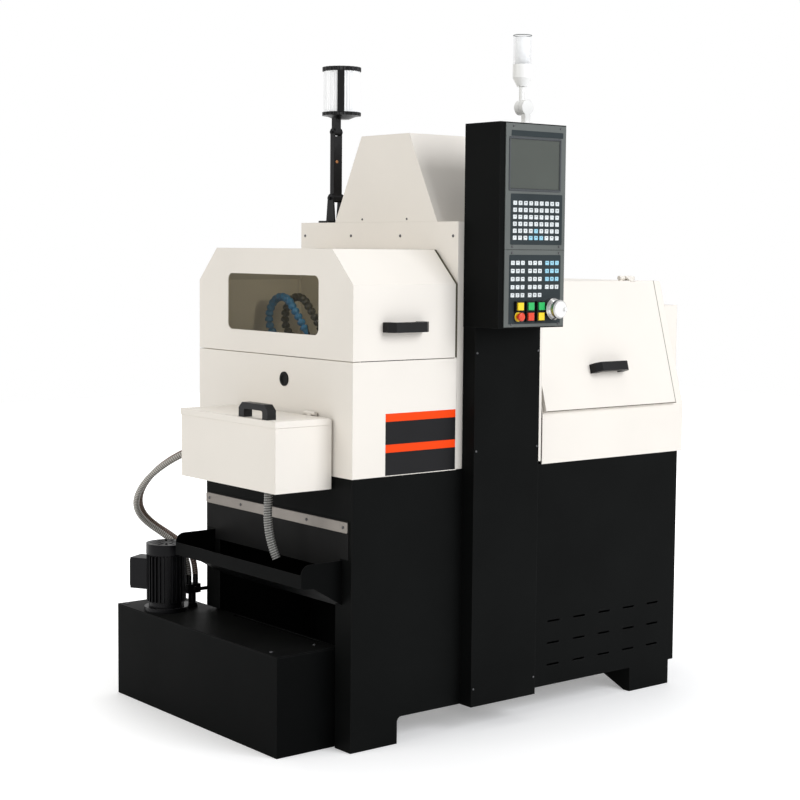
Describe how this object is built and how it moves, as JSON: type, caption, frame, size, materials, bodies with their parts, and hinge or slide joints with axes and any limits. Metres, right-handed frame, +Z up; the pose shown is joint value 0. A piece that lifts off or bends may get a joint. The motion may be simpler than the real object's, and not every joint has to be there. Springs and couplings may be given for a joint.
{
  "type": "sliding-head cnc turning lathe",
  "caption": "Small sliding-headstock lathe on a black sheet-metal stand, with a hinged hood, sloped spindle door, front control column, chip tray, coolant tank and folding lamps.",
  "frame": {"origin": "centre of the bounding box's footprint, on the floor", "axes": "+Z up, -Y the operator's side, -X the window end with the tank, +X the spindle's bar end"},
  "size_m": [1.467, 1.074, 1.86],
  "materials": {
    "white_paint": "satin powder coat, warm white",
    "black_paint": "satin powder coat, black",
    "steel": "ground and brushed",
    "strip_steel": "brushed strip",
    "dark_steel": "blackened",
    "cast": "painted casting",
    "black_plastic": "moulded, fine grain",
    "pump_black": "semi-gloss",
    "chrome": "polished",
    "white_plastic": "moulded",
    "lens_white": "frosted",
    "panel_grey": "fine texture",
    "screen": "dark, off",
    "key_white": "moulded pads",
    "yellow": "moulded",
    "green": "moulded",
    "red": "moulded",
    "window": "clear polycarbonate",
    "lamp_glass": "fluted, clear",
    "hose": "clear wall with wire helix",
    "hose_inner": "clear wall with wire helix",
    "nozzle_blue": "moulded links",
    "rubber": "matt"
  },
  "bodies": {
    "machine": {"base_cabinet": "black_paint", "apron_sheet": "black_paint", "apron_strip": "strip_steel", "chip_tray": "black_paint", "coolant_tank": "black_paint", "tank_lid": "black_paint", "pump_body": "pump_black", "pump_motor": "pump_black", "coolant_hose": "hose", "return_hose": "hose_inner", "drain_hose": "hose", "parts_box": "white_paint", "work_enclosure": "white_paint", "hose_grommets": "rubber", "bulkhead_housing": "white_paint", "slide_cover": "white_paint", "servo_motors": "black_plastic", "cover_screws": "dark_steel", "headstock_cabinet": "white_paint", "bar_inlet_cover": "white_paint", "control_pillar": "black_paint", "control_box": "black_paint", "display_panel": "panel_grey", "lcd_screen": "screen", "panel_keys": "key_white", "operator_panel": "panel_grey", "handwheel_base": "chrome", "signal_lamp_foot": "white_plastic", "lamp_foot": "black_plastic", "guide_bush": "steel", "machine_bed": "cast", "linear_rails": "steel", "coolant_nozzles": "nozzle_blue"},
    "hood": {"hood_shell": "white_paint", "hood_window": "window", "hood_handle": "black_plastic"},
    "door": {"cabinet_door": "white_paint", "door_handle": "black_plastic"},
    "box_lid": {"parts_box_lid": "white_paint", "lid_handle": "black_plastic"},
    "headstock": {"headstock": "cast"},
    "spindle": {"spindle": "steel"},
    "feed_screw": {"headstock_screw": "steel"},
    "tool_column": {"vertical_slide": "dark_steel"},
    "column_screw": {"slide_screw": "steel"},
    "gang_slide": {"cross_slide": "steel", "turning_tools": "dark_steel"},
    "handwheel": {"handwheel": "white_plastic"},
    "button_1": {"push_button_1": "yellow"},
    "button_2": {"push_button_2": "green"},
    "button_3": {"push_button_3": "green"},
    "button_4": {"push_button_4": "red"},
    "button_5": {"push_button_5": "yellow"},
    "stop_button": {"estop_button": "red"},
    "lamp_arm": {"lamp_arm": "black_plastic"},
    "lamp_head": {"lamp_head": "black_plastic", "lamp_lens": "lamp_glass"},
    "signal_lamp": {"signal_lamp": "white_plastic", "signal_lens": "lens_white"},
    "valve": {"valve_lever": "red"}
  },
  "joints": [
    {"name": "hood_hinge", "type": "hinge", "parent": "machine", "child": "hood", "pos_m": [-0.38, 0.38, 1.007], "axis": [-1, 0, 0], "range_deg": [0, 65]},
    {"name": "door_hinge", "type": "hinge", "parent": "machine", "child": "door", "pos_m": [0.3725, -0.238, 1.211], "axis": [-1, 0, 0], "range_deg": [0, 80]},
    {"name": "lid_hinge", "type": "hinge", "parent": "machine", "child": "box_lid", "pos_m": [-0.5605, -0.0485, 0.865], "axis": [0, 1, 0], "range_deg": [0, 65]},
    {"name": "headstock_slide", "type": "slide", "parent": "machine", "child": "headstock", "axis": [-1, 0, 0], "range_m": [0, 0.12]},
    {"name": "spindle_turn", "type": "hinge", "parent": "headstock", "child": "spindle", "pos_m": [0.3335, 0.068, 1.085], "axis": [1, 0, 0], "continuous": true},
    {"name": "feed_screw_turn", "type": "hinge", "parent": "machine", "child": "feed_screw", "pos_m": [0.2485, 0.068, 0.808], "axis": [1, 0, 0], "range_deg": [-10, 4400]},
    {"name": "column_slide", "type": "slide", "parent": "machine", "child": "tool_column", "axis": [0, 0, 1], "range_m": [-0.06, 0.06]},
    {"name": "column_screw_turn", "type": "hinge", "parent": "machine", "child": "column_screw", "pos_m": [-0.1615, -0.087, 1.1], "axis": [0, 0, 1], "range_deg": [-2200, 2200]},
    {"name": "gang_cross_slide", "type": "slide", "parent": "tool_column", "child": "gang_slide", "axis": [0, 1, 0], "range_m": [-0.04, 0.048]},
    {"name": "handwheel_turn", "type": "hinge", "parent": "machine", "child": "handwheel", "pos_m": [-0.0035, -0.524, 1.137], "axis": [0, -1, 0], "continuous": true},
    {"name": "lamp_arm_tilt", "type": "hinge", "parent": "machine", "child": "lamp_arm", "pos_m": [-0.1465, 0.273, 1.437], "axis": [-1, 0, 0], "range_deg": [-10, 60]},
    {"name": "lamp_head_tilt", "type": "hinge", "parent": "lamp_arm", "child": "lamp_head", "pos_m": [-0.1465, 0.273, 1.629], "axis": [-1, 0, 0], "range_deg": [-60, 60]},
    {"name": "signal_fold", "type": "hinge", "parent": "machine", "child": "signal_lamp", "pos_m": [-0.0365, -0.404, 1.667], "axis": [0, 1, 0], "range_deg": [0, 90]},
    {"name": "valve_turn", "type": "hinge", "parent": "machine", "child": "valve", "pos_m": [-0.5745, 0.348, 0.315], "axis": [0, -1, 0], "range_deg": [0, 90]},
    {"name": "button_1_press", "type": "slide", "parent": "machine", "child": "button_1", "axis": [0, 1, 0], "range_m": [0, 0.004], "stiffness_N_per_m": 400},
    {"name": "button_2_press", "type": "slide", "parent": "machine", "child": "button_2", "axis": [0, 1, 0], "range_m": [0, 0.004], "stiffness_N_per_m": 400},
    {"name": "button_3_press", "type": "slide", "parent": "machine", "child": "button_3", "axis": [0, 1, 0], "range_m": [0, 0.004], "stiffness_N_per_m": 400},
    {"name": "button_4_press", "type": "slide", "parent": "machine", "child": "button_4", "axis": [0, 1, 0], "range_m": [0, 0.004], "stiffness_N_per_m": 400},
    {"name": "button_5_press", "type": "slide", "parent": "machine", "child": "button_5", "axis": [0, 1, 0], "range_m": [0, 0.004], "stiffness_N_per_m": 400},
    {"name": "stop_button_press", "type": "slide", "parent": "machine", "child": "stop_button", "axis": [0, 1, 0], "range_m": [0, 0.005], "stiffness_N_per_m": 400}
  ],
  "couplings": [
    {"joint": "feed_screw_turn", "follows": "headstock_slide", "rad_per_m": 628.32},
    {"joint": "column_screw_turn", "follows": "column_slide", "rad_per_m": 628.32}
  ]
}
